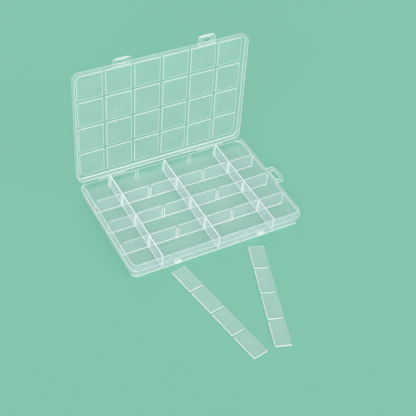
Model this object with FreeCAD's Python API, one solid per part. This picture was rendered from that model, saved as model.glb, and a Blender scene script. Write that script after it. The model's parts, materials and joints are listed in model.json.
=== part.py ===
import FreeCAD, Part
import math
import os

os.makedirs("parts", exist_ok=True)

# Axes: +X along the long side, +Y to the hinge at the back, +Z up.
# The origin is the middle of the tray's underside. Lengths are in millimetres, angles in degrees.

# Tray
tray_length = 190.0
tray_width = 130.4
tray_height = 18.0
wall = 1.2
floor_thickness = 1.4
draft_angle = 1.0
rim_corner_radius = 6.0
rim_edge_chamfer = 0.3
base_edge_radius = 1.6
floor_edge_radius = 0.6
columns = 6
rows = 4

# Flange round the tray, on which the lid's skirt comes down
flange_drop = 5.8
flange_thickness = 1.6
flange_reach = 1.7
flange_edge_chamfer = 0.4

# Hang tab on the right-hand side of the flange
hang_tab_reach = 12.6
hang_tab_bow = 2.4
hang_tab_root_width = 25.4
hang_tab_end_width = 23.6
hang_tab_corner_radius = 2.0
hang_tab_edge_chamfer = 0.4
hang_window_length = 15.0
hang_window_width = 5.0
hang_window_radius = 1.6
hang_window_inset = 3.6

# Cross walls, moulded across the tray's length
cross_wall_top = 1.0
cross_wall_foot = 1.3
cross_wall_flare = 0.5
cross_wall_end_run = 2.8
cross_wall_end_drop = 3.6

# Divider strips, and the slots and notches where they cross the walls
divider_thickness = 1.1
divider_bridge = 2.3
divider_floor_clearance = 0.2
divider_end_clearance = 0.3
divider_top_radius = 0.8
divider_foot_radius = 1.5
slot_clearance = 0.25
slot_mouth_radius = 1.2
slot_end_radius = 0.4
notch_clearance = 0.25
notch_mouth_chamfer = 0.6

# Guide ribs that keep the strips upright
guide_clearance = 0.3
guide_width = 0.9
guide_foot_reach = 0.9
guide_top_reach = 0.55
guide_drop = 5.0

# Lid, drawn shut and then swung open
lid_side_clearance = 0.4
lid_seat_clearance = 0.2
lid_plate = 1.0
lid_top_edge_radius = 0.9
lid_rim_edge_chamfer = 0.3
lid_open_angle = 92.0
pad_clearance = 0.2
pad_height = 0.5
pad_side_width = 0.4
pad_outer_corner_radius = 5.0
pad_channel = 2.5
pad_border = 2.2

# Living hinge at the back
hinge_places_share = 0.615
hinge_length = 33.0
hinge_reach = 0.8
hinge_lip = 0.8
hinge_bead_radius = 0.45
hinge_gap = 0.12

# Latches on the lid's front edge, and the catches on the tray that hold them
latch_places_share = 0.495
latch_width = 19.5
latch_end_height = 2.3
latch_thickness = 1.1
latch_rise = 0.4
latch_left_open_angle = 73.0
latch_right_open_angle = 93.0
latch_flange_clearance = 0.3
latch_lip = 0.8
latch_corner_radius = 3.0
latch_end_radius = 0.35
latch_grip_reach = 1.4
latch_grip_end_reach = 0.3
latch_grip_height = 1.5
latch_window_width = 9.6
latch_window_height = 5.3
latch_window_radius = 0.8
latch_bar = 2.1
catch_width = 7.8
catch_height = 3.2
catch_nose = 0.9
catch_clearance = 0.3
catch_edge_radius = 0.3

# Spare strips on the table: place of the end near the tray, its gap to the flange, and the strip's turn
spare_left_x = -49.4
spare_left_gap = 4.5
spare_left_angle = 100.0
spare_right_x = 36.6
spare_right_gap = 8.9
spare_right_angle = 71.7

# How far a cut runs past what it cuts
overrun = 2.0

# Sizes that follow from those above
tray_half_length = tray_length / 2
tray_half_width = tray_width / 2
column_pitch = (tray_length - wall) / columns
row_pitch = (tray_width - wall) / rows
column_lines = [(place - columns / 2) * column_pitch for place in range(1, columns)]
row_lines = [(place - rows / 2) * row_pitch for place in range(1, rows)]
flange_half_length = tray_half_length + flange_reach
flange_half_width = tray_half_width + flange_reach
flange_corner_radius = rim_corner_radius + flange_reach
flange_top = tray_height - flange_drop
flange_bottom = flange_top - flange_thickness
lid_half_length = tray_half_length + lid_side_clearance + wall
lid_half_width = tray_half_width + lid_side_clearance + wall
lid_corner_radius = rim_corner_radius + lid_side_clearance + wall
lid_rim = flange_top + lid_seat_clearance
pad_face = tray_height + pad_clearance
lid_inside = pad_face + pad_height
lid_top = lid_inside + lid_plate
notch_floor = tray_height - divider_bridge - divider_floor_clearance
floor_draft = (tray_height - floor_thickness) * math.tan(math.radians(draft_angle))
divider_half_length = tray_half_width - floor_draft - wall - divider_end_clearance
divider_foot = floor_thickness + divider_floor_clearance
divider_height = tray_height - divider_foot
guide_top = tray_height - guide_drop
hinge_y = flange_half_width + hinge_reach
hinge_z = flange_top + lid_seat_clearance / 2
hinge_places = [-hinge_places_share * tray_half_length, hinge_places_share * tray_half_length]
latch_places = [-latch_places_share * tray_half_length, latch_places_share * tray_half_length]
latch_inner_y = -(flange_half_width + latch_flange_clearance)
latch_outer_y = latch_inner_y - latch_thickness
latch_axis_y = (latch_inner_y + latch_outer_y) / 2
latch_axis_z = lid_rim + latch_rise
latch_window_bottom = latch_end_height + latch_bar
catch_foot_z = latch_window_bottom + catch_clearance


# Shared ways of drawing
def flat(z):
    """Drawing plane at height z: u is X and v is Y."""
    return lambda u, v: FreeCAD.Vector(u, v, z)


def side(x):
    """Drawing plane across the tray at x: u is Y and v is Z."""
    return lambda u, v: FreeCAD.Vector(x, u, v)


def front(y):
    """Drawing plane along the tray at y: u is X and v is Z."""
    return lambda u, v: FreeCAD.Vector(u, y, v)


def rounded_wire(corners, plane):
    """Closed outline through (u, v, radius) corners."""
    points = [FreeCAD.Vector(u, v, 0) for u, v, radius in corners]
    stretches = []
    for index, (u, v, radius) in enumerate(corners):
        here = points[index]
        back = (points[index - 1] - here).normalize()
        ahead = (points[(index + 1) % len(points)] - here).normalize()
        half_turn = back.getAngle(ahead) / 2
        run = radius / math.tan(half_turn)
        middle = here + (back + ahead).normalize() * (radius / math.sin(half_turn) - radius)
        stretches.append((here + back * run, middle, here + ahead * run, radius))
    edges = []
    for index, (start, middle, end, radius) in enumerate(stretches):
        if radius > 0:
            arc = Part.Arc(plane(start.x, start.y), plane(middle.x, middle.y), plane(end.x, end.y))
            edges.append(arc.toShape())
        next_start = stretches[(index + 1) % len(stretches)][0]
        if not end.isEqual(next_start, Part.Precision.confusion()):
            edges.append(Part.makeLine(plane(end.x, end.y), plane(next_start.x, next_start.y)))
    return Part.Wire(edges)


def rectangle(half_u, half_v, radius):
    """Corners of a rounded rectangle about the middle."""
    signs = ((-1, -1), (1, -1), (1, 1), (-1, 1))
    return [(sign_u * half_u, sign_v * half_v, radius) for sign_u, sign_v in signs]


def prism(corners, plane, travel):
    """Solid swept straight from a rounded outline."""
    return Part.Face(rounded_wire(corners, plane)).extrude(travel)


def tapered(lower, lower_z, upper, upper_z):
    """Solid between two like outlines at two heights."""
    wires = [rounded_wire(lower, flat(lower_z)), rounded_wire(upper, flat(upper_z))]
    return Part.makeLoft(wires, True, True)


def level_edges(shape, z):
    """Edges that lie flat at height z."""
    found = []
    for edge in shape.Edges:
        if all(abs(vertex.Z - z) < Part.Precision.confusion() for vertex in edge.Vertexes):
            found.append(edge)
    return found


def upright_edges(shape, x):
    """Edges that stand upright at x."""
    found = []
    for edge in shape.Edges:
        box = edge.BoundBox
        stands = box.ZLength > Part.Precision.confusion() and box.XLength < Part.Precision.confusion()
        if stands and abs(box.XMin - x) < Part.Precision.confusion():
            found.append(edge)
    return found


def along_x(shape_length, x):
    """Start plane and travel of a piece that runs along X, centred on x."""
    return side(x - shape_length / 2), FreeCAD.Vector(shape_length, 0, 0)


# Tray
def draft_inset(z):
    """How far the drafted wall leans in at height z."""
    return (tray_height - z) * math.tan(math.radians(draft_angle))


def tray_outline(z, thickness):
    """Wall outline at height z, this thickness in from the outer face."""
    inset = draft_inset(z) + thickness
    return rectangle(tray_half_length - inset, tray_half_width - inset, rim_corner_radius - inset)


def make_tray_block():
    """Tray without its hollow, below the rim."""
    block = tapered(tray_outline(0, 0), 0, tray_outline(tray_height, 0), tray_height)
    return block.makeFillet(base_edge_radius, level_edges(block, 0))


def make_cavity():
    """Hollow of the tray, open at the top."""
    mouth = tray_height + overrun
    cavity = tapered(tray_outline(floor_thickness, wall), floor_thickness, tray_outline(mouth, wall), mouth)
    return cavity.makeFillet(floor_edge_radius, level_edges(cavity, floor_thickness))


def make_tray_shell(block, cavity, hang_tab):
    """Floor, walls and flange, with a seat for the hang tab."""
    outline = rectangle(flange_half_length, flange_half_width, flange_corner_radius)
    flange = prism(outline, flat(flange_bottom), FreeCAD.Vector(0, 0, flange_thickness))
    rims = level_edges(flange, flange_bottom) + level_edges(flange, flange_top)
    flange = flange.makeChamfer(flange_edge_chamfer, rims)
    shell = block.fuse(flange).cut(cavity).removeSplitter()
    shell = shell.makeChamfer(rim_edge_chamfer, level_edges(shell, tray_height))
    return shell.cut(hang_tab)


def make_hang_tab():
    """Bowed loop at flange level with a window for a hook, rooted in the flange."""
    root = flange_half_length - flange_edge_chamfer * 2
    shoulder = flange_half_length + hang_tab_reach - hang_tab_bow
    tip = flange_half_length + hang_tab_reach
    plane = flat(flange_bottom)
    root_half = hang_tab_root_width / 2
    end_half = hang_tab_end_width / 2
    edges = [
        Part.makeLine(plane(root, -root_half), plane(shoulder, -end_half)),
        Part.Arc(plane(shoulder, -end_half), plane(tip, 0), plane(shoulder, end_half)).toShape(),
        Part.makeLine(plane(shoulder, end_half), plane(root, root_half)),
        Part.makeLine(plane(root, root_half), plane(root, -root_half)),
    ]
    tab = Part.Face(Part.Wire(edges)).extrude(FreeCAD.Vector(0, 0, flange_thickness))
    tab = tab.makeFillet(hang_tab_corner_radius, upright_edges(tab, shoulder))
    rims = level_edges(tab, flange_bottom) + level_edges(tab, flange_top)
    tab = tab.makeChamfer(hang_tab_edge_chamfer, [edge for edge in rims if edge.BoundBox.XMax > root])
    middle = flange_half_length + hang_window_inset + hang_window_width / 2
    corners = rectangle(hang_window_width / 2, hang_window_length / 2, hang_window_radius)
    depth = FreeCAD.Vector(0, 0, flange_thickness + overrun * 2)
    window = prism(corners, flat(flange_bottom - overrun), depth)
    window.translate(FreeCAD.Vector(middle, 0, 0))
    return tab.cut(window)


# Cross walls and guide ribs
def make_wall_slab(y, cavity):
    """One drafted cross wall with a flared foot, fitted between the side walls."""
    foot = cross_wall_foot / 2
    top = cross_wall_top / 2
    flare = floor_thickness + cross_wall_flare
    corners = [
        (y - foot - cross_wall_flare, floor_thickness, 0),
        (y + foot + cross_wall_flare, floor_thickness, 0),
        (y + foot, flare, 0),
        (y + top, tray_height, 0),
        (y - top, tray_height, 0),
        (y - foot, flare, 0),
    ]
    plane, travel = along_x(tray_length, 0)
    return prism(corners, plane, travel).common(cavity)


def make_notch(x, y):
    """Cutter for the notch where a strip crosses a wall, with a chamfered mouth."""
    half = divider_thickness / 2 + notch_clearance
    mouth = half + notch_mouth_chamfer
    shoulder = tray_height - notch_mouth_chamfer
    above = tray_height + overrun
    right_half = [(half, notch_floor), (half, shoulder), (mouth, tray_height), (mouth, above)]
    corners = [(x + reach, z, 0) for reach, z in right_half]
    corners += [(x - reach, z, 0) for reach, z in reversed(right_half)]
    return prism(corners, front(y - cross_wall_foot), FreeCAD.Vector(0, cross_wall_foot * 2, 0))


def make_end_cut(sign, y):
    """Cutter that slopes a wall's top corner down to the side wall."""
    end = tray_half_length - wall
    corners = [
        (sign * (end - cross_wall_end_run), tray_height, 0),
        (sign * end, tray_height - cross_wall_end_drop, 0),
        (sign * (end + overrun), tray_height - cross_wall_end_drop, 0),
        (sign * (end + overrun), tray_height + overrun, 0),
        (sign * (end - cross_wall_end_run), tray_height + overrun, 0),
    ]
    return prism(corners, front(y - cross_wall_foot), FreeCAD.Vector(0, cross_wall_foot * 2, 0))


def make_cross_wall(y, slab):
    """Cross wall with a notch at each column line."""
    cutters = [make_notch(x, y) for x in column_lines]
    cutters += [make_end_cut(sign, y) for sign in (-1, 1)]
    return slab.cut(cutters)


def guide_lines(x):
    """Middles of the two ribs that stand either side of a strip."""
    offset = divider_thickness / 2 + guide_clearance + guide_width / 2
    return [x - offset, x + offset]


def make_wall_guides(y, slab):
    """Rib pairs on the front face of a cross wall, below its notches."""
    foot = cross_wall_foot / 2 + guide_foot_reach
    top = cross_wall_top / 2 + guide_top_reach
    corners = [
        (y - foot, floor_thickness, 0),
        (y, floor_thickness, 0),
        (y, notch_floor, 0),
        (y - top, notch_floor, 0),
    ]
    ribs = []
    for x in column_lines:
        for line in guide_lines(x):
            plane, travel = along_x(guide_width, line)
            ribs += prism(corners, plane, travel).cut(slab).Solids
    return Part.makeCompound(ribs)


def make_side_guides(sign, cavity):
    """Rib pairs on the inner face of the front or back wall."""
    face = tray_half_width - wall
    lean = floor_draft
    corners = [
        (sign * (face - lean - guide_foot_reach), floor_thickness, 0),
        (sign * (face + wall), floor_thickness, 0),
        (sign * (face + wall), guide_top, 0),
        (sign * (face - guide_top_reach), guide_top, 0),
    ]
    ribs = []
    for x in column_lines:
        for line in guide_lines(x):
            plane, travel = along_x(guide_width, line)
            ribs += prism(corners, plane, travel).common(cavity).Solids
    return Part.makeCompound(ribs)


# Divider strips
def make_divider():
    """Strip standing on the middle line, slotted from below to straddle the cross walls."""
    half = divider_half_length
    slot_half = cross_wall_foot / 2 + slot_clearance
    slot_end = tray_height - divider_bridge
    corners = [(-half, tray_height, divider_top_radius), (-half, divider_foot, divider_foot_radius)]
    for y in row_lines:
        corners += [
            (y - slot_half, divider_foot, slot_mouth_radius),
            (y - slot_half, slot_end, slot_end_radius),
            (y + slot_half, slot_end, slot_end_radius),
            (y + slot_half, divider_foot, slot_mouth_radius),
        ]
    corners += [(half, divider_foot, divider_foot_radius), (half, tray_height, divider_top_radius)]
    plane, travel = along_x(divider_thickness, 0)
    return prism(corners, plane, travel)


def stand_divider(strip, column):
    """Strip in its place on a column line."""
    placed = strip.copy()
    placed.translate(FreeCAD.Vector(column_lines[column - 1], 0, 0))
    return placed


def lay_divider(strip, x, gap, turn):
    """Strip flat on the table in front of the tray, its slots opening to the left of its length."""
    laid = strip.copy()
    laid.translate(FreeCAD.Vector(0, -divider_half_length, -(divider_foot + divider_height / 2)))
    laid.rotate(FreeCAD.Vector(0, 0, 0), FreeCAD.Vector(0, 1, 0), 90)
    laid.rotate(FreeCAD.Vector(0, 0, 0), FreeCAD.Vector(0, 0, 1), turn - 90)
    laid.translate(FreeCAD.Vector(x, -(flange_half_width + gap), divider_thickness / 2))
    return laid


# Lid
def open_lid(shape):
    """Swing a piece of the shut lid to the open place."""
    turned = shape.copy()
    turned.rotate(FreeCAD.Vector(0, hinge_y, hinge_z), FreeCAD.Vector(-1, 0, 0), lid_open_angle)
    return turned


def pad_corners(column, row, shrink):
    """Outline of one pad, square but for the corners of the lid."""
    low_x = (column - columns / 2) * column_pitch
    low_y = (row - rows / 2) * row_pitch
    sides = {}
    for name, place, low, high in (
        ("left", low_x, column == 0, False),
        ("right", low_x + column_pitch, False, column == columns - 1),
        ("near", low_y, row == 0, False),
        ("far", low_y + row_pitch, False, row == rows - 1),
    ):
        inset = pad_border if low or high else pad_channel / 2
        inward = 1 if name in ("left", "near") else -1
        sides[name] = (place + inward * (inset + shrink), low or high)

    def corner(across, along):
        at_lid_corner = sides[across][1] and sides[along][1]
        radius = pad_outer_corner_radius - shrink if at_lid_corner else 0
        return (sides[across][0], sides[along][0], radius)

    return [corner("left", "near"), corner("right", "near"), corner("right", "far"), corner("left", "far")]


def make_lid_panel():
    """Lid plate with a raised pad on its inner face over each cell."""
    outline = rectangle(lid_half_length, lid_half_width, lid_corner_radius)
    plate = prism(outline, flat(lid_inside), FreeCAD.Vector(0, 0, lid_plate))
    plate = plate.makeFillet(lid_top_edge_radius, level_edges(plate, lid_top))
    lands = []
    for column in range(columns):
        for row in range(rows):
            wide = pad_corners(column, row, 0)
            narrow = pad_corners(column, row, pad_side_width)
            lands.append(tapered(narrow, pad_face, wide, lid_inside))
    return plate.fuse(lands).removeSplitter()


def make_lid_skirt():
    """Skirt under the lid plate, with the lips that carry the hinges and the latches."""
    drop = lid_inside - lid_rim
    outer = rectangle(lid_half_length, lid_half_width, lid_corner_radius)
    inner_radius = lid_corner_radius - wall
    inner = rectangle(lid_half_length - wall, lid_half_width - wall, inner_radius)
    skirt = prism(outer, flat(lid_rim), FreeCAD.Vector(0, 0, drop))
    skirt = skirt.cut(prism(inner, flat(lid_rim - overrun), FreeCAD.Vector(0, 0, drop + overrun * 2)))
    skirt = skirt.makeChamfer(lid_rim_edge_chamfer, level_edges(skirt, lid_rim))
    lips = []
    for x in hinge_places:
        root = lid_half_width - wall / 2
        edge = hinge_y - hinge_bead_radius - hinge_gap
        lips.append(lip_along_x(x, hinge_length, (root, edge), (lid_rim, lid_rim + hinge_lip)))
    for x in latch_places:
        root = -lid_half_width + wall / 2
        edge = latch_inner_y + hinge_gap
        heights = (latch_axis_z - latch_lip / 2, latch_axis_z + latch_lip / 2)
        lips.append(lip_along_x(x, latch_width, (root, edge), heights))
    return skirt.fuse(lips).removeSplitter()


def lip_along_x(x, length, places, heights):
    """Bar along X between two places in Y and two heights."""
    root, edge = places
    bottom, top = heights
    corners = [(root, bottom, 0), (edge, bottom, 0), (edge, top, 0), (root, top, 0)]
    plane, travel = along_x(length, x)
    return prism(corners, plane, travel)


# Living hinge, latches and catches
def make_hinge_web(x, shell):
    """Tray's half of a living hinge: a lip on the flange with the fold's bead on the axis."""
    root = flange_half_width - flange_reach / 2
    lip = lip_along_x(x, hinge_length, (root, hinge_y), (flange_top - hinge_lip, flange_top))
    start = FreeCAD.Vector(x - hinge_length / 2, hinge_y, hinge_z)
    bead = Part.makeCylinder(hinge_bead_radius, hinge_length, start, FreeCAD.Vector(1, 0, 0))
    return lip.fuse(bead).removeSplitter().cut(shell)


def make_latch_bow(x, root_z):
    """Room that a latch fills seen from above: its finger lip reaches furthest in the middle."""
    half = latch_width / 2
    bottom = latch_end_height - overrun
    shoulder_y = latch_outer_y - latch_grip_end_reach
    back_y = latch_inner_y + overrun
    plane = flat(bottom)
    front_left, front_right = plane(x - half, shoulder_y), plane(x + half, shoulder_y)
    back_left, back_right = plane(x - half, back_y), plane(x + half, back_y)
    edges = [
        Part.Arc(front_left, plane(x, latch_outer_y - latch_grip_reach), front_right).toShape(),
        Part.makeLine(front_right, back_right),
        Part.makeLine(back_right, back_left),
        Part.makeLine(back_left, front_left),
    ]
    return Part.Face(Part.Wire(edges)).extrude(FreeCAD.Vector(0, 0, root_z + overrun - bottom))


def make_latch(x):
    """Latch hanging shut: a round root on its axis, a window and a bowed finger lip at its end."""
    root_radius = latch_thickness / 2
    grip_y = latch_outer_y - latch_grip_reach
    root_z = latch_axis_z + root_radius
    section = [
        (latch_inner_y, root_z, root_radius),
        (latch_inner_y, latch_end_height, latch_end_radius),
        (grip_y, latch_end_height, latch_end_radius),
        (grip_y, latch_end_height + latch_grip_height / 2, latch_end_radius),
        (latch_outer_y, latch_end_height + latch_grip_height, latch_end_radius),
        (latch_outer_y, root_z, root_radius),
    ]
    plane, travel = along_x(latch_width, x)
    tab = prism(section, plane, travel)
    half = latch_width / 2
    face = [
        (x - half, latch_end_height, latch_corner_radius),
        (x + half, latch_end_height, latch_corner_radius),
        (x + half, root_z + overrun, 0),
        (x - half, root_z + overrun, 0),
    ]
    depth = FreeCAD.Vector(0, latch_thickness + latch_grip_reach + overrun * 2, 0)
    tab = tab.common(prism(face, front(grip_y - overrun), depth)).common(make_latch_bow(x, root_z))
    window = rectangle(latch_window_width / 2, latch_window_height / 2, latch_window_radius)
    cutter = prism(window, front(grip_y - overrun), depth)
    cutter.translate(FreeCAD.Vector(x, 0, latch_window_bottom + latch_window_height / 2))
    return tab.cut(cutter)


def open_latch(shape, angle):
    """Fold a hanging latch out to its free place, then swing it with the lid."""
    turned = shape.copy()
    turned.rotate(FreeCAD.Vector(0, latch_axis_y, latch_axis_z), FreeCAD.Vector(-1, 0, 0), angle)
    return open_lid(turned)


def make_catch(x, block):
    """Wedge on the front wall: sloped above, flat below where the latch's bar hooks under it."""
    nose_y = latch_inner_y - catch_nose
    root_y = -(tray_half_width - wall / 2)
    corners = [
        (root_y, catch_foot_z, 0),
        (nose_y, catch_foot_z, catch_edge_radius),
        (nose_y, catch_foot_z + catch_nose, catch_edge_radius),
        (-tray_half_width, catch_foot_z + catch_height, 0),
        (root_y, catch_foot_z + catch_height, 0),
    ]
    plane, travel = along_x(catch_width, x)
    return prism(corners, plane, travel).cut(block)


# Build every piece
def build():
    block = make_tray_block()
    cavity = make_cavity()
    hang_tab = make_hang_tab()
    shell = make_tray_shell(block, cavity, hang_tab)
    nodes = {"tray_shell": shell, "hang_tab": hang_tab}
    for name, y in zip(("front", "middle", "back"), row_lines):
        slab = make_wall_slab(y, cavity)
        nodes["cross_wall_" + name] = make_cross_wall(y, slab)
        nodes["wall_guides_" + name] = make_wall_guides(y, slab)
    for name, sign in (("front", -1), ("back", 1)):
        nodes["side_guides_" + name] = make_side_guides(sign, cavity)
    latch_angles = (latch_left_open_angle, latch_right_open_angle)
    both_sides = zip(("left", "right"), hinge_places, latch_places, latch_angles)
    for name, hinge_x, latch_x, latch_angle in both_sides:
        nodes["hinge_web_" + name] = make_hinge_web(hinge_x, shell)
        nodes["catch_" + name] = make_catch(latch_x, block)
        nodes["latch_" + name] = open_latch(make_latch(latch_x), latch_angle)
    nodes["lid_panel"] = open_lid(make_lid_panel())
    nodes["lid_skirt"] = open_lid(make_lid_skirt())
    strip = make_divider()
    for name, column in (("left", 1), ("middle", 3), ("right", 5)):
        nodes["divider_" + name] = stand_divider(strip, column)
    nodes["spare_divider_left"] = lay_divider(strip, spare_left_x, spare_left_gap, spare_left_angle)
    nodes["spare_divider_right"] = lay_divider(strip, spare_right_x, spare_right_gap, spare_right_angle)
    return nodes


for node, solid in build().items():
    state = "valid" if solid.isValid() else "INVALID"
    print(node, len(solid.Solids), "solids", round(solid.Volume, 1), "mm3", state)
    solid.exportStep("parts/" + node + ".step")
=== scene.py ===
import bmesh
import bpy
import json
import math
from mathutils import Matrix, Vector


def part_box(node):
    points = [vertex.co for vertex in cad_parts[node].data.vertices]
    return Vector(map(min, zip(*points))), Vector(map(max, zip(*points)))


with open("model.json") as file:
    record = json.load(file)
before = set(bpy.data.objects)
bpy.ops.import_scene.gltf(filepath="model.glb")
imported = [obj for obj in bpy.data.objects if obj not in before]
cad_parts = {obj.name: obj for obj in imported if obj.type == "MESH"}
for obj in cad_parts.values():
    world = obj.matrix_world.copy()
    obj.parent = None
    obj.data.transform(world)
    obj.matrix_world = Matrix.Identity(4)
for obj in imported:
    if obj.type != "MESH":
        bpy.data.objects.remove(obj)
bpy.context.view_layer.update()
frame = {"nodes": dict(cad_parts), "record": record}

# Lengths are in metres, angles in radians
MM = 0.001

# Tray and its cells
COLUMNS = 6
ROWS = 4
TRAY_WALL = 1.2 * MM
TRAY_CORNER = 6.0 * MM
FLANGE_REACH = 1.7 * MM
FLANGE_CORNER = TRAY_CORNER + FLANGE_REACH
flange_low, flange_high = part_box("tray_shell")
TRAY_HALF_LENGTH = flange_high.x - FLANGE_REACH
TRAY_HALF_WIDTH = flange_high.y - FLANGE_REACH
TRAY_HEIGHT = flange_high.z
TRAY_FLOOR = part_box("cross_wall_front")[0].z
WALL_END = TRAY_HALF_LENGTH - TRAY_WALL
COLUMN_PITCH = (2 * TRAY_HALF_LENGTH - TRAY_WALL) / COLUMNS
ROW_PITCH = (2 * TRAY_HALF_WIDTH - TRAY_WALL) / ROWS

# Divider strips
divider_low, divider_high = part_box("divider_left")
DIVIDER_LEFT_X = (divider_low.x + divider_high.x) / 2
STRIP_FOOT = divider_low.z
STRIP_LENGTH = divider_high.y - divider_low.y
STRIP_HALF_WIDTH = (divider_high.z - divider_low.z) / 2
STRIP_BRIDGE = 2.3 * MM
SLOT_HALF_WIDTH = 0.9 * MM
SLOT_END = STRIP_BRIDGE - STRIP_HALF_WIDTH

# Loose strips: where the end near the tray lies, its gap to the flange, and the strip's turn
SPARE_LEFT_X = -49.4 * MM
SPARE_LEFT_GAP = 4.5 * MM
SPARE_LEFT_TURN = math.radians(10.0)
SPARE_RIGHT_X = 36.6 * MM
SPARE_RIGHT_GAP = 8.9 * MM
SPARE_RIGHT_TURN = math.radians(-18.3)

# Lid and latches: the joints give the hinge's place, and how far each stands open
joints = {joint["name"]: joint for joint in frame["record"]["behaviour"]["joints"]}
HINGE_Y, HINGE_Z = joints["lid_hinge"]["pos_m"][1:]
LID_ANGLE = math.radians(-joints["lid_hinge"]["range_deg"][0])
LATCH_LEFT_ANGLE = math.radians(-joints["left_latch_hinge"]["range_deg"][0])
LATCH_RIGHT_ANGLE = math.radians(-joints["right_latch_hinge"]["range_deg"][0])
LID_HALF_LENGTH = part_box("lid_panel")[1].x
LID_OVERHANG = LID_HALF_LENGTH - TRAY_HALF_LENGTH
LID_HALF_WIDTH = TRAY_HALF_WIDTH + LID_OVERHANG
LID_CORNER = TRAY_CORNER + LID_OVERHANG
HINGE_TO_RIM = 0.1 * MM
LID_RIM = HINGE_Z + HINGE_TO_RIM
PAD_CLEARANCE = 0.2 * MM
PAD_HEIGHT = 0.5 * MM
PAD_CHANNEL = 2.5 * MM
PAD_BORDER = 2.2 * MM
PAD_FACE = TRAY_HEIGHT + PAD_CLEARANCE
LID_INSIDE = PAD_FACE + PAD_HEIGHT

# Colours of the plastic: its hazy faces, and the painted highlights along its edges
HAZE_WHITE = (0.81, 0.87, 0.92, 1.0)
EDGE_HIGHLIGHT_WHITE = (0.95, 0.95, 0.94, 1.0)
PLASTIC_IOR = 1.49
PLASTIC_GLOSS = 0.5

# Painted highlight lines along edges, and the stretch that counts as one side of the box
LINE = 0.5 * MM
LINE_FADE = 0.3 * MM
SIDE_LINE = 2.0 * MM
SIDE_FADE = 3.0 * MM
BASE_LINE_LOW = 1.3 * MM
BASE_LINE_HIGH = 2.9 * MM

# Plate normals
ACROSS = (1, 0, 0)
BACKWARDS = (0, 1, 0)
UP = (0, 0, 1)


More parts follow.
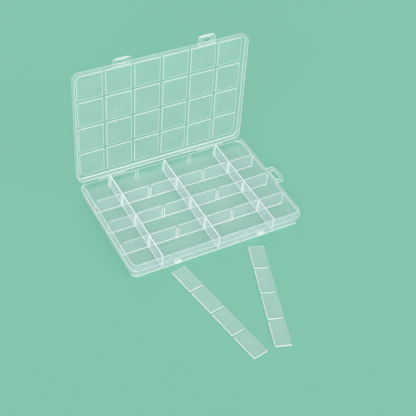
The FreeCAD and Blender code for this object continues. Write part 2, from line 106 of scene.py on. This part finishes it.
# Shader building
class Finish:
    """A clear plastic whose haze, painted edge highlights and surface waves are drawn by nodes."""

    def __init__(self, name):
        self.material = bpy.data.materials.new(name)
        self.material.use_nodes = True
        self.nodes = self.material.node_tree.nodes
        self.links = self.material.node_tree.links
        self.shader = self.nodes["Principled BSDF"]
        coords = self.nodes.new("ShaderNodeTexCoord")
        self.place = coords.outputs["Object"]
        self.normal = coords.outputs["Normal"]

    def link(self, value, socket):
        if isinstance(value, bpy.types.NodeSocket):
            self.links.new(value, socket)
        else:
            socket.default_value = value

    def math(self, operation, first, second=None, clamp=False):
        node = self.nodes.new("ShaderNodeMath")
        node.operation = operation
        node.use_clamp = clamp
        self.link(first, node.inputs[0])
        if second is not None:
            self.link(second, node.inputs[1])
        return node.outputs[0]

    def all_of(self, first, *others):
        """Where all masks are on: their product."""
        for other in others:
            first = self.math("MULTIPLY", first, other)
        return first

    def any_of(self, first, *others):
        """Where any mask is on: the strongest of them."""
        for other in others:
            first = self.math("MAXIMUM", first, other)
        return first

    def graded(self, level, *changes):
        """A level that changes by a set amount wherever a mask is on."""
        for mask, change in changes:
            level = self.math("ADD", level, self.math("MULTIPLY", mask, change))
        return level

    def axis(self, letter):
        """Place along one of the box's axes."""
        node = self.nodes.new("ShaderNodeSeparateXYZ")
        self.links.new(self.place, node.inputs[0])
        return node.outputs[letter]

    def along(self, vector, direction):
        node = self.nodes.new("ShaderNodeVectorMath")
        node.operation = "DOT_PRODUCT"
        self.links.new(vector, node.inputs[0])
        node.inputs[1].default_value = direction
        return node.outputs["Value"]

    def facing(self, direction):
        """1 on faces square to a direction, from either side, and 0 on faces along it."""
        return self.math("ABSOLUTE", self.along(self.normal, direction))

    def ramp(self, value, low, high, start=0.0, end=1.0):
        node = self.nodes.new("ShaderNodeMapRange")
        node.interpolation_type = "SMOOTHSTEP"
        self.link(value, node.inputs["Value"])
        node.inputs["From Min"].default_value = low
        node.inputs["From Max"].default_value = high
        node.inputs["To Min"].default_value = start
        node.inputs["To Max"].default_value = end
        return node.outputs["Result"]

    def on_from(self, value, limit, line=LINE, fade=LINE_FADE, share=1.0):
        """A mask that is on from a line's width short of a limit."""
        return self.ramp(value, limit - line - fade, limit - line, 0.0, share)

    def on_until(self, value, limit, line=LINE, fade=LINE_FADE, share=1.0):
        """A mask that is on until a line's width past a limit."""
        return self.ramp(value, limit + line, limit + line + fade, share, 0.0)

    def cut_edges(self, plate_normal, share=1.0):
        """A mask on the edges of a flat plate, where faces turn away from the plate's normal."""
        return self.ramp(self.facing(plate_normal), low=0.5, high=0.8, start=share, end=0.0)

    def reach(self, across, along, half_across, half_along, corner):
        """Distance from a rounded rectangle's core: equal to corner on the outline itself."""
        away = []
        for place, half in ((across, half_across), (along, half_along)):
            beyond = self.math("SUBTRACT", self.math("ABSOLUTE", place), half - corner)
            away.append(self.math("POWER", self.math("MAXIMUM", beyond, 0.0), 2.0))
        return self.math("SQRT", self.math("ADD", *away))

    def noise(self, scale, detail, stretch=(1.0, 1.0, 1.0)):
        mapping = self.nodes.new("ShaderNodeMapping")
        mapping.inputs["Scale"].default_value = stretch
        self.links.new(self.place, mapping.inputs["Vector"])
        node = self.nodes.new("ShaderNodeTexNoise")
        node.inputs["Scale"].default_value = scale
        node.inputs["Detail"].default_value = detail
        self.links.new(mapping.outputs["Vector"], node.inputs["Vector"])
        return node.outputs["Fac"]

    def varied(self, noise, least, most):
        """A noise spread over a range, past the rare values at its two ends."""
        return self.ramp(noise, low=0.3, high=0.7, start=least, end=most)

    def grazing(self, blend=0.5):
        node = self.nodes.new("ShaderNodeLayerWeight")
        node.inputs["Blend"].default_value = blend
        return node.outputs["Facing"]

    def blend_colour(self, factor, first, second):
        node = self.nodes.new("ShaderNodeMix")
        node.data_type = "RGBA"
        self.link(factor, node.inputs["Factor"])
        node.inputs["A"].default_value = first
        node.inputs["B"].default_value = second
        return node.outputs["Result"]

    def bump(self, height, strength, distance):
        node = self.nodes.new("ShaderNodeBump")
        node.inputs["Strength"].default_value = strength
        node.inputs["Distance"].default_value = distance
        self.links.new(height, node.inputs["Height"])
        return node.outputs["Normal"]

    def plastic(self, haze, edges, white):
        """Haze, and painted highlights on edges that are white to this alpha, become alpha, colour,
        gloss and relief.
        """
        cloud = self.varied(self.noise(scale=38.0, detail=3.0), least=0.85, most=1.15)
        flow_noise = self.noise(scale=120.0, detail=2.0, stretch=(0.25, 1.0, 1.0))
        flow = self.varied(flow_noise, least=0.92, most=1.08)
        streak_noise = self.noise(scale=70.0, detail=1.0, stretch=(1.0, 0.06, 0.5))
        streaks = self.ramp(streak_noise, low=0.62, high=0.72, start=0.0, end=0.035)
        sheen = self.ramp(self.grazing(), low=0.55, high=1.0, start=0.0, end=0.22)
        body = self.math("ADD", self.all_of(haze, cloud, flow), streaks)
        body = self.math("ADD", body, sheen, clamp=True)
        # Painted highlight: where the edge mask is on, the alpha rises to the white level and the
        # colour turns white
        painted_highlight = self.math("MULTIPLY", edges, self.math("SUBTRACT", white, body))
        alpha = self.math("ADD", body, painted_highlight, clamp=True)
        colour = self.blend_colour(edges, HAZE_WHITE, EDGE_HIGHLIGHT_WHITE)
        roughness = self.varied(self.noise(scale=140.0, detail=2.0), least=0.16, most=0.26)
        waves = self.bump(self.noise(scale=170.0, detail=1.0), strength=0.06, distance=0.2 * MM)
        self.links.new(alpha, self.shader.inputs["Alpha"])
        self.links.new(colour, self.shader.inputs["Base Color"])
        self.links.new(roughness, self.shader.inputs["Roughness"])
        self.links.new(waves, self.shader.inputs["Normal"])
        self.shader.inputs["IOR"].default_value = PLASTIC_IOR
        self.shader.inputs["Specular IOR Level"].default_value = PLASTIC_GLOSS
        self.let_lamps_through(share=0.35)
        return self.material

    def let_lamps_through(self, share):
        """Hazy plastic spreads light forward, so lamps reach what lies behind it."""
        path = self.nodes.new("ShaderNodeLightPath")
        clear = self.nodes.new("ShaderNodeBsdfTransparent")
        mix = self.nodes.new("ShaderNodeMixShader")
        self.links.new(self.math("MULTIPLY", path.outputs["Is Shadow Ray"], share), mix.inputs["Fac"])
        self.links.new(self.shader.outputs["BSDF"], mix.inputs[1])
        self.links.new(clear.outputs["BSDF"], mix.inputs[2])
        self.links.new(mix.outputs["Shader"], self.nodes["Material Output"].inputs["Surface"])


# Tray, its walls and its small pieces
def make_plate_plastic(name, plate_normal, haze, white):
    """Flat piece: hazy faces, painted highlights on its cut edges."""
    finish = Finish(name)
    return finish.plastic(haze, finish.cut_edges(plate_normal), white)


def make_tray_plastic():
    """Tray: clearer floor, hazier walls, painted highlight lines on the rim, the flange edge and the
    front and left base edge, and painted shade on the back wall.
    """
    finish = Finish("tray_clear_plastic")
    x = finish.axis("X")
    y = finish.axis("Y")
    z = finish.axis("Z")
    reach = finish.reach(x, y, TRAY_HALF_LENGTH, TRAY_HALF_WIDTH, TRAY_CORNER)
    right = finish.on_from(x, TRAY_HALF_LENGTH, line=SIDE_LINE, fade=2 * SIDE_FADE)
    left = finish.on_until(x, -TRAY_HALF_LENGTH, line=SIDE_LINE, fade=SIDE_FADE)
    front = finish.on_until(y, -TRAY_HALF_WIDTH, line=SIDE_LINE, fade=SIDE_FADE)
    back = finish.on_from(y, TRAY_HALF_WIDTH, line=SIDE_LINE, fade=SIDE_FADE)

    # Painted highlight: the rim line is brightest on the right and faintest at the back, the flange
    # line brightest on the right and left, and the base line shows only at the front and left, as
    # light falls on those sides
    rim_share = finish.graded(0.75, (right, 0.25), (front, -0.27), (back, -0.52))
    rim_top = finish.on_from(z, TRAY_HEIGHT, line=0.2 * MM)
    rim = finish.all_of(rim_top, finish.on_from(reach, TRAY_CORNER), rim_share)
    flange_share = finish.graded(0.38, (right, 0.62), (left, 0.45), (front, -0.2), (back, -0.2))
    flange = finish.all_of(finish.on_from(reach, FLANGE_CORNER, line=0.3 * MM), flange_share)
    front_base_share = 0.9
    base_share = finish.any_of(finish.all_of(front, front_base_share), left)
    base_low = finish.on_from(z, BASE_LINE_LOW, line=0.0)
    base_high = finish.on_until(z, BASE_LINE_HIGH, line=0.0, fade=0.4 * MM)
    outside = finish.on_from(reach, TRAY_CORNER, line=0.8 * MM)
    base = finish.all_of(base_low, base_high, outside, base_share)
    edges = finish.any_of(rim, flange, base)

    floor_haze = 0.135
    wall_haze = 0.2
    # Painted shade: the back wall's haze thins towards the rim, so the wall reads darker there, as if
    # shaded
    back_painted_shade = finish.ramp(z, low=1.5 * MM, high=12.0 * MM, start=0.05, end=0.19)
    walls = finish.math("SUBTRACT", wall_haze, finish.all_of(back, back_painted_shade))
    flat = finish.ramp(finish.facing(UP), low=0.2, high=0.9)
    haze = finish.math("ADD", finish.all_of(finish.math("SUBTRACT", floor_haze, walls), flat), walls)
    return finish.plastic(haze, edges, white=0.95)


def make_wall_plastic():
    """Cross walls: hazy faces, painted highlights on the tops, feet and ends. The painted highlight on
    the tops is fainter in the left column.
    """
    finish = Finish("cross_wall_plastic")
    x = finish.axis("X")
    z = finish.axis("Z")
    column_share = finish.ramp(x, DIVIDER_LEFT_X - SIDE_FADE, DIVIDER_LEFT_X, start=0.75, end=1.0)
    top = finish.on_from(z, TRAY_HEIGHT, line=0.1 * MM, fade=0.2 * MM, share=0.9)
    foot = finish.on_until(z, TRAY_FLOOR, line=0.3 * MM, fade=0.4 * MM)
    from_middle = finish.math("ABSOLUTE", x)
    end = finish.on_from(from_middle, WALL_END, line=0.8 * MM, fade=0.4 * MM, share=0.9)
    edges = finish.any_of(finish.all_of(top, column_share), foot, end)
    return finish.plastic(haze=0.11, edges=edges, white=0.7)


def make_rib_plastic(name, white):
    """Guide ribs: clear sides, painted highlights on the tips."""
    finish = Finish(name)
    tips = finish.ramp(finish.facing(BACKWARDS), low=0.7, high=0.95)
    return finish.plastic(haze=0.03, edges=tips, white=white)


# Divider strips
def make_divider_plastic():
    """Fitted strip: hazy faces, and painted highlights on its cut edges, along its foot and at its two
    ends.
    """
    finish = Finish("divider_plastic")
    foot = finish.on_until(finish.axis("Z"), STRIP_FOOT, line=0.4 * MM, fade=0.4 * MM, share=0.45)
    from_middle = finish.math("ABSOLUTE", finish.axis("Y"))
    end = finish.on_from(from_middle, STRIP_LENGTH / 2, fade=0.4 * MM, share=0.9)
    edges = finish.any_of(finish.cut_edges(ACROSS), foot, end)
    return finish.plastic(haze=0.28, edges=edges, white=0.88)


def make_spare_plastic(name, end_x, gap, turn):
    """Loose strip: hazy faces, painted highlights along its slotted side, its far end and one side of
    each slot, the sides that catch the light.
    """
    finish = Finish(name)
    end = Vector((end_x, flange_low.y - gap, 0))
    lengthwise = Vector((math.sin(turn), -math.cos(turn), 0))
    mouthwards = Vector((-math.cos(turn), -math.sin(turn), 0))
    along = finish.math("SUBTRACT", finish.along(finish.place, lengthwise), lengthwise.dot(end))
    across = finish.math("SUBTRACT", finish.along(finish.place, mouthwards), mouthwards.dot(end))
    mouth = finish.on_from(across, STRIP_HALF_WIDTH)
    far_end = finish.on_from(along, STRIP_LENGTH)
    from_slot = finish.math("SUBTRACT", along, STRIP_LENGTH / 2 - SLOT_HALF_WIDTH)
    past_slot = finish.math("FLOORED_MODULO", from_slot, ROW_PITCH)
    to_slot = finish.math("SUBTRACT", ROW_PITCH, past_slot)
    slot_side = finish.on_until(to_slot, 0.0)
    slot = finish.all_of(slot_side, finish.on_from(across, SLOT_END, line=0.3 * MM))
    edges = finish.any_of(mouth, far_end, slot, finish.cut_edges(UP, share=0.3))
    return finish.plastic(haze=0.17, edges=edges, white=0.9)


# Lid
class LidFinish(Finish):
    """Clear plastic drawn in the axes that the lid has when it is shut."""

    def __init__(self, name):
        super().__init__(name)
        lean = math.cos(LID_ANGLE)
        rise = math.sin(LID_ANGLE)
        depth_shift = HINGE_Y - HINGE_Y * lean + HINGE_Z * rise
        height_shift = HINGE_Z - HINGE_Y * rise - HINGE_Z * lean
        plate_normal = (0, rise, lean)
        self.x = self.axis("X")
        self.depth = self.math("ADD", self.along(self.place, (0, lean, -rise)), depth_shift)
        self.height = self.math("ADD", self.along(self.place, plate_normal), height_shift)
        self.level = self.facing(plate_normal)
        self.outline = self.reach(self.x, self.depth, LID_HALF_LENGTH, LID_HALF_WIDTH, LID_CORNER)

    def pad_line(self, place, pitch, count):
        """Painted highlight along a pad's edge: one at each side of a channel, and one inside the
        border.
        """
        away = self.math("PINGPONG", place, pitch / 2)
        outer = self.math("GREATER_THAN", self.math("ABSOLUTE", place), (count - 1) / 2 * pitch)
        border = self.math("MULTIPLY", outer, PAD_BORDER - PAD_CHANNEL / 2)
        away = self.math("SUBTRACT", away, border)
        return self.on_until(away, PAD_CHANNEL / 2, line=0.85 * MM, fade=0.35 * MM)


def make_lid_plastic():
    """Lid plate: frosted pads with painted highlights round them, clear channels, and a painted
    highlight on the crown round the outside.
    """
    finish = LidFinish("lid_plastic")
    pads = finish.on_until(finish.height, PAD_FACE, line=0.05 * MM, fade=0.25 * MM)
    column_lines = finish.pad_line(finish.x, COLUMN_PITCH, COLUMNS)
    row_lines = finish.pad_line(finish.depth, ROW_PITCH, ROWS)
    pad_outlines = finish.all_of(finish.any_of(column_lines, row_lines), pads)
    slopes = finish.ramp(finish.level, low=0.8, high=0.95, start=1.0, end=0.0)
    crown = finish.on_from(finish.outline, LID_CORNER, fade=0.4 * MM, share=0.3)
    edges = finish.any_of(pad_outlines, slopes, crown)
    return finish.plastic(finish.graded(0.055, (pads, 0.12)), edges, white=0.62)


def make_skirt_plastic():
    """Lid skirt: hazy faces, painted highlights on the rim and in a line outside at the plate. The
    latch side is clearer, and its painted highlights fainter.
    """
    finish = LidFinish("lid_skirt_plastic")
    rim = finish.on_until(finish.height, LID_RIM, line=0.3 * MM, share=0.6)
    outside = finish.on_from(finish.outline, LID_CORNER, line=0.2 * MM, fade=0.2 * MM)
    crown = finish.on_from(finish.height, LID_INSIDE, line=0.7 * MM, share=0.75)
    latch_side = finish.on_until(finish.depth, -LID_HALF_WIDTH, line=SIDE_LINE, fade=SIDE_FADE)
    edges = finish.any_of(rim, finish.all_of(outside, crown))
    edges = finish.all_of(edges, finish.graded(1.0, (latch_side, -0.6)))
    return finish.plastic(finish.graded(0.14, (latch_side, -0.04)), edges, white=0.85)


def make_latch_plastic(name, fold, white):
    """Latch: a plate that stands at its own angle to the open lid."""
    angle = LID_ANGLE + fold
    return make_plate_plastic(name, (0.0, math.cos(angle), -math.sin(angle)), haze=0.12, white=white)


def dress(material, *nodes):
    for node in nodes:
        slots = frame["nodes"][node].data.materials
        slots.clear()
        slots.append(material)


dress(make_tray_plastic(), "tray_shell")
dress(make_plate_plastic("hang_tab_plastic", UP, haze=0.12, white=0.9), "hang_tab")
dress(make_wall_plastic(), "cross_wall_front", "cross_wall_middle", "cross_wall_back")
dress(make_rib_plastic("wall_rib_plastic", white=0.6),
      "wall_guides_front", "wall_guides_middle", "wall_guides_back")
dress(make_rib_plastic("front_rib_plastic", white=0.27), "side_guides_front")
dress(make_rib_plastic("back_rib_plastic", white=0.45), "side_guides_back")
dress(make_plate_plastic("hinge_web_plastic", UP, haze=0.08, white=0.3),
      "hinge_web_left", "hinge_web_right")
dress(make_plate_plastic("catch_plastic", ACROSS, haze=0.08, white=0.3), "catch_left", "catch_right")
dress(make_divider_plastic(), "divider_left", "divider_middle", "divider_right")
dress(make_spare_plastic("spare_left_plastic", SPARE_LEFT_X, SPARE_LEFT_GAP, SPARE_LEFT_TURN),
      "spare_divider_left")
dress(make_spare_plastic("spare_right_plastic", SPARE_RIGHT_X, SPARE_RIGHT_GAP, SPARE_RIGHT_TURN),
      "spare_divider_right")
dress(make_lid_plastic(), "lid_panel")
dress(make_skirt_plastic(), "lid_skirt")
dress(make_latch_plastic("latch_left_plastic", LATCH_LEFT_ANGLE, white=0.5), "latch_left")
dress(make_latch_plastic("latch_right_plastic", LATCH_RIGHT_ANGLE, white=0.8), "latch_right")

# Stage
FLOOR_HALF_SIZE = 30.0
FLOOR_DROP = 0.3 * MM
FLOOR_PALE_GREEN = (0.215, 0.53, 0.40, 1.0)
FLOOR_ROUGHNESS = 0.9
LAMP_BREADTH = math.radians(38.0)
STUDIO_TINT = (0.80, 0.88, 0.85, 1.0)
STUDIO_STRENGTH = 0.45

# How many clear walls a ray of light may pass
CLEAR_LAYERS = 64

# Camera: the photograph's place and turn, and its focal length in pixels
PHOTO_WIDTH = 416
PHOTO_FOCAL_LENGTH = 948.119
CAMERA_PLACE = Vector((-0.36093, -0.61473, 0.69281))
CAMERA_FORWARD = Vector((0.38052, 0.61011, -0.69497))
CAMERA_UP = Vector((0.28073, 0.63983, 0.71541))
CAMERA_NEAR = 0.01
CAMERA_FAR = 50.0


def make_floor():
    mesh = bmesh.new()
    bmesh.ops.create_grid(mesh, x_segments=1, y_segments=1, size=FLOOR_HALF_SIZE)
    bmesh.ops.translate(mesh, verts=mesh.verts, vec=(0, 0, -FLOOR_DROP))
    data = bpy.data.meshes.new("studio_floor")
    mesh.to_mesh(data)
    mesh.free()
    floor = bpy.data.objects.new("studio_floor", data)
    bpy.context.scene.collection.objects.link(floor)
    paint = bpy.data.materials.new("floor_paint")
    paint.use_nodes = True
    shader = paint.node_tree.nodes["Principled BSDF"]
    shader.inputs["Base Color"].default_value = FLOOR_PALE_GREEN
    shader.inputs["Roughness"].default_value = FLOOR_ROUGHNESS
    data.materials.append(paint)


def add_lamp(name, place, power):
    """Broad far lamp that shines from this place towards the box, evenly over the floor."""
    lamp = bpy.data.lights.new(name, "SUN")
    lamp.angle = LAMP_BREADTH
    lamp.energy = power
    holder = bpy.data.objects.new(name, lamp)
    holder.location = place
    holder.rotation_euler = (-Vector(place)).to_track_quat("-Z", "Y").to_euler()
    bpy.context.scene.collection.objects.link(holder)


def add_camera():
    """Camera at the photograph's viewing angle."""
    lens = bpy.data.cameras.new("photo_camera")
    lens.lens = PHOTO_FOCAL_LENGTH / PHOTO_WIDTH * lens.sensor_width
    lens.clip_start = CAMERA_NEAR
    lens.clip_end = CAMERA_FAR
    camera = bpy.data.objects.new("photo_camera", lens)
    right = CAMERA_FORWARD.cross(CAMERA_UP)
    turn = Matrix((right, CAMERA_UP, -CAMERA_FORWARD)).transposed().to_4x4()
    camera.matrix_world = Matrix.Translation(CAMERA_PLACE) @ turn
    bpy.context.scene.collection.objects.link(camera)
    bpy.context.scene.camera = camera


def light_studio():
    """Soft light from all round, and the plain view of it."""
    world = bpy.data.worlds.new("studio")
    world.use_nodes = True
    background = world.node_tree.nodes["Background"]
    background.inputs["Color"].default_value = STUDIO_TINT
    background.inputs["Strength"].default_value = STUDIO_STRENGTH
    scene = bpy.context.scene
    scene.world = world
    scene.view_settings.view_transform = "Standard"
    scene.cycles.transparent_max_bounces = CLEAR_LAYERS


make_floor()
add_lamp("key_lamp", place=(-0.92, -1.15, 0.95), power=1.85)
add_lamp("fill_lamp", place=(0.9, -1.0, 0.9), power=0.88)
add_lamp("back_lamp", place=(0.2, 1.3, 1.2), power=0.75)
add_camera()
light_studio()
